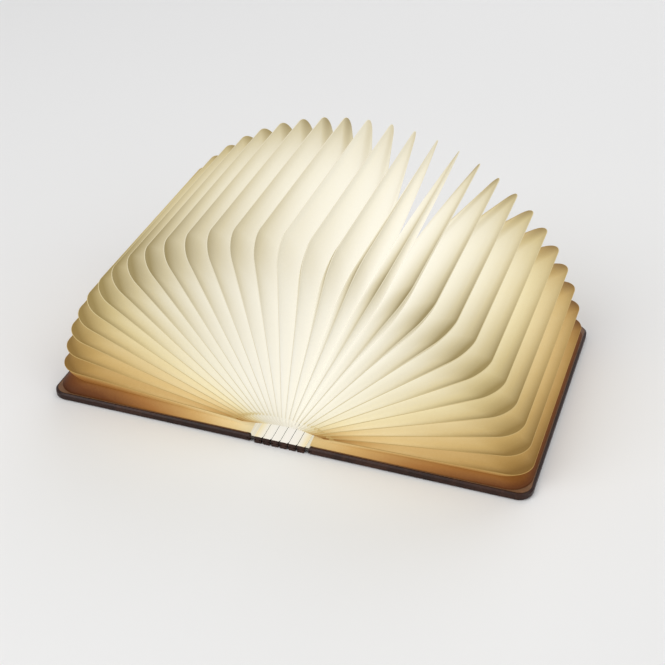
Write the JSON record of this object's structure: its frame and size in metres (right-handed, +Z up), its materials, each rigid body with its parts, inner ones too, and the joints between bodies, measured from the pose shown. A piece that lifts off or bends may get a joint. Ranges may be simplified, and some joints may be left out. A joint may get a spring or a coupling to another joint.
{
  "type": "folding book lamp",
  "caption": "Folding book lamp with two wooden covers, a slatted spine and a fan of pleated translucent leaves lit by a light bar.",
  "frame": {"origin": "middle of the underside of the lamp lying open on a table", "axes": "+Z up, +Y along the spine away from the reader, +X towards the right cover"},
  "size_m": [0.205, 0.122, 0.0936],
  "materials": {
    "pleat_paper": "matte translucent fibre paper",
    "spine_wood": "satin dark walnut",
    "cover_wood": "satin dark walnut",
    "hinge_cloth": "matte woven cloth",
    "magnet": "bright plated",
    "foam_tape": "matte foam",
    "bar_plastic": "fine matte",
    "diffuser": "frosted",
    "led_board": "white solder mask",
    "led_chip": "yellow phosphor",
    "battery_foil": "dull foil",
    "port_metal": "satin",
    "control_board": "green solder mask",
    "chip_black": "matte"
  },
  "bodies": {
    "spine": {"slat_3": "spine_wood", "slat_4": "spine_wood", "hinge_cloth_middle": "hinge_cloth", "foam_tape": "foam_tape", "bar_channel": "bar_plastic", "bar_diffuser": "diffuser", "bar_end_cap": "bar_plastic", "led_board": "led_board", "led_chips": "led_chip", "battery_cell": "battery_foil", "tail_housing": "bar_plastic", "charge_port": "port_metal", "control_board": "control_board", "hall_switch": "chip_black", "leaf_15": "pleat_paper"},
    "slat_5": {"slat_5": "spine_wood"},
    "slat_6": {"slat_6": "spine_wood", "hinge_cloth_right": "hinge_cloth"},
    "slat_2": {"slat_2": "spine_wood"},
    "slat_1": {"slat_1": "spine_wood", "hinge_cloth_left": "hinge_cloth"},
    "cover_right": {"cover_right": "cover_wood", "endpaper_right": "pleat_paper", "magnets_right": "magnet", "trigger_magnet": "magnet"},
    "cover_left": {"cover_left": "cover_wood", "endpaper_left": "pleat_paper", "magnets_left": "magnet"},
    "leaf_16": {"leaf_16": "pleat_paper"},
    "leaf_17": {"leaf_17": "pleat_paper"},
    "leaf_18": {"leaf_18": "pleat_paper"},
    "leaf_19": {"leaf_19": "pleat_paper"},
    "leaf_20": {"leaf_20": "pleat_paper"},
    "leaf_21": {"leaf_21": "pleat_paper"},
    "leaf_22": {"leaf_22": "pleat_paper"},
    "leaf_23": {"leaf_23": "pleat_paper"},
    "leaf_24": {"leaf_24": "pleat_paper"},
    "leaf_25": {"leaf_25": "pleat_paper"},
    "leaf_26": {"leaf_26": "pleat_paper"},
    "leaf_27": {"leaf_27": "pleat_paper"},
    "leaf_28": {"leaf_28": "pleat_paper"},
    "leaf_29": {"leaf_29": "pleat_paper"},
    "leaf_14": {"leaf_14": "pleat_paper"},
    "leaf_13": {"leaf_13": "pleat_paper"},
    "leaf_12": {"leaf_12": "pleat_paper"},
    "leaf_11": {"leaf_11": "pleat_paper"},
    "leaf_10": {"leaf_10": "pleat_paper"},
    "leaf_09": {"leaf_09": "pleat_paper"},
    "leaf_08": {"leaf_08": "pleat_paper"},
    "leaf_07": {"leaf_07": "pleat_paper"},
    "leaf_06": {"leaf_06": "pleat_paper"},
    "leaf_05": {"leaf_05": "pleat_paper"},
    "leaf_04": {"leaf_04": "pleat_paper"},
    "leaf_03": {"leaf_03": "pleat_paper"},
    "leaf_02": {"leaf_02": "pleat_paper"},
    "leaf_01": {"leaf_01": "pleat_paper"}
  },
  "joints": [
    {"name": "slat_5_bend", "type": "hinge", "parent": "spine", "child": "slat_5", "pos_m": [0.00367, 0, 0.0016], "axis": [0, -1, 0], "range_deg": [-15.97, 15.02]},
    {"name": "slat_6_bend", "type": "hinge", "parent": "spine", "child": "slat_6", "pos_m": [0.00551, 0, 0.0016], "axis": [0, -1, 0], "range_deg": [-31.9, 30]},
    {"name": "right_cover_fold", "type": "hinge", "parent": "slat_6", "child": "cover_right", "pos_m": [0.01176, 0, 0.0016], "axis": [0, -1, 0], "range_deg": [-63.82, 60.02], "deforming": ["hinge_cloth_right"]},
    {"name": "leaf_16_fold", "type": "hinge", "parent": "spine", "child": "leaf_16", "pos_m": [0.0008, 0, 0.004], "axis": [0, -1, 0], "range_deg": [-6.73, 6.33]},
    {"name": "leaf_17_fold", "type": "hinge", "parent": "spine", "child": "leaf_17", "pos_m": [0.0016, 0, 0.004], "axis": [0, -1, 0], "range_deg": [-13.45, 12.65]},
    {"name": "leaf_18_fold", "type": "hinge", "parent": "spine", "child": "leaf_18", "pos_m": [0.0024, 0, 0.004], "axis": [0, -1, 0], "range_deg": [-20.16, 18.96]},
    {"name": "leaf_19_fold", "type": "hinge", "parent": "spine", "child": "leaf_19", "pos_m": [0.0032, 0, 0.004], "axis": [0, -1, 0], "range_deg": [-26.88, 25.28]},
    {"name": "leaf_20_fold", "type": "hinge", "parent": "spine", "child": "leaf_20", "pos_m": [0.004, 0, 0.004], "axis": [0, -1, 0], "range_deg": [-33.59, 31.59]},
    {"name": "leaf_21_fold", "type": "hinge", "parent": "spine", "child": "leaf_21", "pos_m": [0.0048, 0, 0.004], "axis": [0, -1, 0], "range_deg": [-40.3, 37.91]},
    {"name": "leaf_22_fold", "type": "hinge", "parent": "spine", "child": "leaf_22", "pos_m": [0.0056, 0, 0.004], "axis": [0, -1, 0], "range_deg": [-47.02, 44.22]},
    {"name": "leaf_23_fold", "type": "hinge", "parent": "spine", "child": "leaf_23", "pos_m": [0.0064, 0, 0.004], "axis": [0, -1, 0], "range_deg": [-53.73, 50.53]},
    {"name": "leaf_24_fold", "type": "hinge", "parent": "spine", "child": "leaf_24", "pos_m": [0.0072, 0, 0.004], "axis": [0, -1, 0], "range_deg": [-60.45, 56.85]},
    {"name": "leaf_25_fold", "type": "hinge", "parent": "spine", "child": "leaf_25", "pos_m": [0.008, 0, 0.004], "axis": [0, -1, 0], "range_deg": [-67.16, 63.16]},
    {"name": "leaf_26_fold", "type": "hinge", "parent": "spine", "child": "leaf_26", "pos_m": [0.0088, 0, 0.004], "axis": [0, -1, 0], "range_deg": [-73.88, 69.48]},
    {"name": "leaf_27_fold", "type": "hinge", "parent": "spine", "child": "leaf_27", "pos_m": [0.0096, 0, 0.004], "axis": [0, -1, 0], "range_deg": [-80.59, 75.79]},
    {"name": "leaf_28_fold", "type": "hinge", "parent": "spine", "child": "leaf_28", "pos_m": [0.0104, 0, 0.004], "axis": [0, -1, 0], "range_deg": [-87.3, 82.11]},
    {"name": "leaf_29_fold", "type": "hinge", "parent": "spine", "child": "leaf_29", "pos_m": [0.0112, 0, 0.004], "axis": [0, -1, 0], "range_deg": [-94.02, 88.42]},
    {"name": "slat_2_bend", "type": "hinge", "parent": "spine", "child": "slat_2", "pos_m": [-0.00367, 0, 0.0016], "axis": [0, 1, 0], "range_deg": [-15.97, 15.02]},
    {"name": "slat_1_bend", "type": "hinge", "parent": "spine", "child": "slat_1", "pos_m": [-0.00551, 0, 0.0016], "axis": [0, 1, 0], "range_deg": [-31.9, 30]},
    {"name": "left_cover_fold", "type": "hinge", "parent": "slat_1", "child": "cover_left", "pos_m": [-0.01176, 0, 0.0016], "axis": [0, 1, 0], "range_deg": [-63.82, 60.02], "deforming": ["hinge_cloth_left"]},
    {"name": "leaf_14_fold", "type": "hinge", "parent": "spine", "child": "leaf_14", "pos_m": [-0.0008, 0, 0.004], "axis": [0, 1, 0], "range_deg": [-6.52, 6.13]},
    {"name": "leaf_13_fold", "type": "hinge", "parent": "spine", "child": "leaf_13", "pos_m": [-0.0016, 0, 0.004], "axis": [0, 1, 0], "range_deg": [-13.02, 12.25]},
    {"name": "leaf_12_fold", "type": "hinge", "parent": "spine", "child": "leaf_12", "pos_m": [-0.0024, 0, 0.004], "axis": [0, 1, 0], "range_deg": [-19.52, 18.36]},
    {"name": "leaf_11_fold", "type": "hinge", "parent": "spine", "child": "leaf_11", "pos_m": [-0.0032, 0, 0.004], "axis": [0, 1, 0], "range_deg": [-26.03, 24.48]},
    {"name": "leaf_10_fold", "type": "hinge", "parent": "spine", "child": "leaf_10", "pos_m": [-0.004, 0, 0.004], "axis": [0, 1, 0], "range_deg": [-32.53, 30.59]},
    {"name": "leaf_09_fold", "type": "hinge", "parent": "spine", "child": "leaf_09", "pos_m": [-0.0048, 0, 0.004], "axis": [0, 1, 0], "range_deg": [-39.03, 36.71]},
    {"name": "leaf_08_fold", "type": "hinge", "parent": "spine", "child": "leaf_08", "pos_m": [-0.0056, 0, 0.004], "axis": [0, 1, 0], "range_deg": [-45.53, 42.82]},
    {"name": "leaf_07_fold", "type": "hinge", "parent": "spine", "child": "leaf_07", "pos_m": [-0.0064, 0, 0.004], "axis": [0, 1, 0], "range_deg": [-52.03, 48.93]},
    {"name": "leaf_06_fold", "type": "hinge", "parent": "spine", "child": "leaf_06", "pos_m": [-0.0072, 0, 0.004], "axis": [0, 1, 0], "range_deg": [-58.53, 55.05]},
    {"name": "leaf_05_fold", "type": "hinge", "parent": "spine", "child": "leaf_05", "pos_m": [-0.008, 0, 0.004], "axis": [0, 1, 0], "range_deg": [-65.03, 61.16]},
    {"name": "leaf_04_fold", "type": "hinge", "parent": "spine", "child": "leaf_04", "pos_m": [-0.0088, 0, 0.004], "axis": [0, 1, 0], "range_deg": [-71.54, 67.28]},
    {"name": "leaf_03_fold", "type": "hinge", "parent": "spine", "child": "leaf_03", "pos_m": [-0.0096, 0, 0.004], "axis": [0, 1, 0], "range_deg": [-78.04, 73.39]},
    {"name": "leaf_02_fold", "type": "hinge", "parent": "spine", "child": "leaf_02", "pos_m": [-0.0104, 0, 0.004], "axis": [0, 1, 0], "range_deg": [-84.54, 79.51]},
    {"name": "leaf_01_fold", "type": "hinge", "parent": "spine", "child": "leaf_01", "pos_m": [-0.0112, 0, 0.004], "axis": [0, 1, 0], "range_deg": [-91.04, 85.62]}
  ],
  "couplings": [
    {"joint": "slat_5_bend", "follows": "slat_6_bend", "ratio": 0.5},
    {"joint": "right_cover_fold", "follows": "slat_6_bend", "ratio": 2},
    {"joint": "leaf_16_fold", "follows": "slat_6_bend", "ratio": 0.21048},
    {"joint": "leaf_17_fold", "follows": "slat_6_bend", "ratio": 0.42095},
    {"joint": "leaf_18_fold", "follows": "slat_6_bend", "ratio": 0.63143},
    {"joint": "leaf_19_fold", "follows": "slat_6_bend", "ratio": 0.84191},
    {"joint": "leaf_20_fold", "follows": "slat_6_bend", "ratio": 1.0524},
    {"joint": "leaf_21_fold", "follows": "slat_6_bend", "ratio": 1.2629},
    {"joint": "leaf_22_fold", "follows": "slat_6_bend", "ratio": 1.4733},
    {"joint": "leaf_23_fold", "follows": "slat_6_bend", "ratio": 1.6838},
    {"joint": "leaf_24_fold", "follows": "slat_6_bend", "ratio": 1.8943},
    {"joint": "leaf_25_fold", "follows": "slat_6_bend", "ratio": 2.1048},
    {"joint": "leaf_26_fold", "follows": "slat_6_bend", "ratio": 2.3152},
    {"joint": "leaf_27_fold", "follows": "slat_6_bend", "ratio": 2.5257},
    {"joint": "leaf_28_fold", "follows": "slat_6_bend", "ratio": 2.7362},
    {"joint": "leaf_29_fold", "follows": "slat_6_bend", "ratio": 2.9467},
    {"joint": "slat_2_bend", "follows": "slat_1_bend", "ratio": 0.5},
    {"joint": "left_cover_fold", "follows": "slat_1_bend", "ratio": 2},
    {"joint": "leaf_14_fold", "follows": "slat_1_bend", "ratio": 0.20381},
    {"joint": "leaf_13_fold", "follows": "slat_1_bend", "ratio": 0.40762},
    {"joint": "leaf_12_fold", "follows": "slat_1_bend", "ratio": 0.61143},
    {"joint": "leaf_11_fold", "follows": "slat_1_bend", "ratio": 0.81524},
    {"joint": "leaf_10_fold", "follows": "slat_1_bend", "ratio": 1.019},
    {"joint": "leaf_09_fold", "follows": "slat_1_bend", "ratio": 1.2229},
    {"joint": "leaf_08_fold", "follows": "slat_1_bend", "ratio": 1.4267},
    {"joint": "leaf_07_fold", "follows": "slat_1_bend", "ratio": 1.6305},
    {"joint": "leaf_06_fold", "follows": "slat_1_bend", "ratio": 1.8343},
    {"joint": "leaf_05_fold", "follows": "slat_1_bend", "ratio": 2.0381},
    {"joint": "leaf_04_fold", "follows": "slat_1_bend", "ratio": 2.2419},
    {"joint": "leaf_03_fold", "follows": "slat_1_bend", "ratio": 2.4457},
    {"joint": "leaf_02_fold", "follows": "slat_1_bend", "ratio": 2.6495},
    {"joint": "leaf_01_fold", "follows": "slat_1_bend", "ratio": 2.8533}
  ]
}
